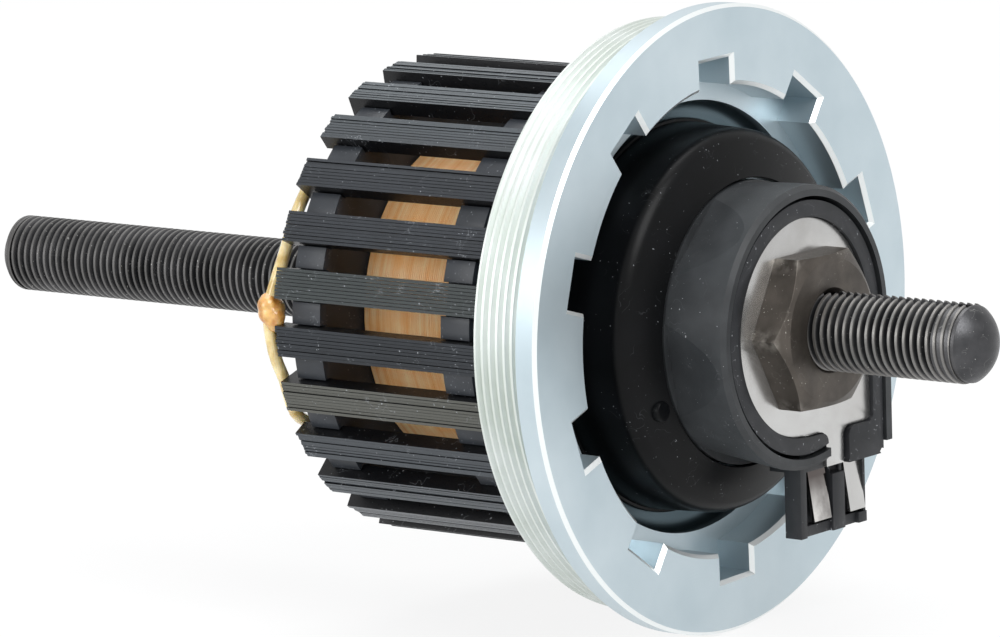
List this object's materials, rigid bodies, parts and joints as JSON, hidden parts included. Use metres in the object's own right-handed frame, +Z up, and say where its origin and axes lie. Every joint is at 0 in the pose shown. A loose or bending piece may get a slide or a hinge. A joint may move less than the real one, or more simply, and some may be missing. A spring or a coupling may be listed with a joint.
{
  "type": "hub dynamo",
  "caption": "Inner assembly of a bicycle hub dynamo: threaded axle, claw-pole stator round a coil, bearing, threaded cover ring and plug block.",
  "frame": {"origin": "on the axle's axis at the lock nut's outer face, where the dropout or rack stay seats", "axes": "+Y along the axle from the connector end to the long end, +Z up, with the plug block pointing down along -Z"},
  "size_m": [0.0712, 0.142, 0.0712],
  "materials": {
    "axle_steel": "blackened thread, worn at the crests",
    "nut_steel": "dark phosphated steel with worn edges",
    "nickel_strip": "matte nickel plate",
    "bright_strip": "bright nickel plate",
    "housing_plastic": "charcoal moulding",
    "sleeve_plastic": "dark grey moulding",
    "insulating_board": "pressed fibre board",
    "lead_insulation": "enamelled wire in thin sleeving",
    "bearing_steel": "ground steel",
    "ball_steel": "polished steel",
    "cage_steel": "pressed and passivated",
    "seal_rubber": "moulded",
    "turned_alloy": "fine turned face",
    "cover_rubber": "black satin",
    "washer_steel": "zinc plated",
    "bobbin_plastic": "charcoal moulding",
    "coil_wire": "enamelled copper wire, fine circumferential lines",
    "yoke_steel": "rolled steel",
    "sleeving": "yellowed clear sleeving",
    "glue": "amber glue",
    "pole_sheet": "blue-black lacquered sheets, stacked side by side"
  },
  "bodies": {
    "root": {"axle": "axle_steel", "lock_nut": "nut_steel", "earth_terminal": "nickel_strip", "live_terminal": "bright_strip", "connector_housing": "housing_plastic", "connector_sleeve": "sleeve_plastic", "insulating_washer": "insulating_board", "live_lead": "lead_insulation", "bearing_cone": "bearing_steel", "right_stator_nut": "nut_steel", "right_stator_washer": "washer_steel", "bobbin": "bobbin_plastic", "coil": "coil_wire", "coil_outer_turns": "coil_wire", "core_yoke": "yoke_steel", "left_stator_washer": "washer_steel", "left_stator_nut": "nut_steel", "earth_lead": "sleeving", "glue_drop": "glue", "left_pole_01": "pole_sheet", "left_pole_02": "pole_sheet", "left_pole_03": "pole_sheet", "left_pole_04": "pole_sheet", "left_pole_05": "pole_sheet", "left_pole_06": "pole_sheet", "left_pole_07": "pole_sheet", "left_pole_08": "pole_sheet", "left_pole_09": "pole_sheet", "left_pole_10": "pole_sheet", "left_pole_11": "pole_sheet", "left_pole_12": "pole_sheet", "left_pole_13": "pole_sheet", "right_pole_01": "pole_sheet", "right_pole_02": "pole_sheet", "right_pole_03": "pole_sheet", "right_pole_04": "pole_sheet", "right_pole_05": "pole_sheet", "right_pole_06": "pole_sheet", "right_pole_07": "pole_sheet", "right_pole_08": "pole_sheet", "right_pole_09": "pole_sheet", "right_pole_10": "pole_sheet", "right_pole_11": "pole_sheet", "right_pole_12": "pole_sheet", "right_pole_13": "pole_sheet"},
    "cover": {"cover_ring": "turned_alloy", "dust_cover": "cover_rubber", "bearing_cup": "bearing_steel", "bearing_seal": "seal_rubber"},
    "cage": {"ball_cage": "cage_steel", "bearing_balls": "ball_steel"}
  },
  "joints": [
    {"name": "cover_spin", "type": "hinge", "parent": "root", "child": "cover", "pos_m": [0, 0.0186, 0], "axis": [0, 1, 0], "continuous": true},
    {"name": "cage_spin", "type": "hinge", "parent": "root", "child": "cage", "pos_m": [0, 0.0186, 0], "axis": [0, 1, 0], "continuous": true}
  ],
  "couplings": [
    {"joint": "cage_spin", "follows": "cover_spin", "ratio": 0.5809}
  ]
}
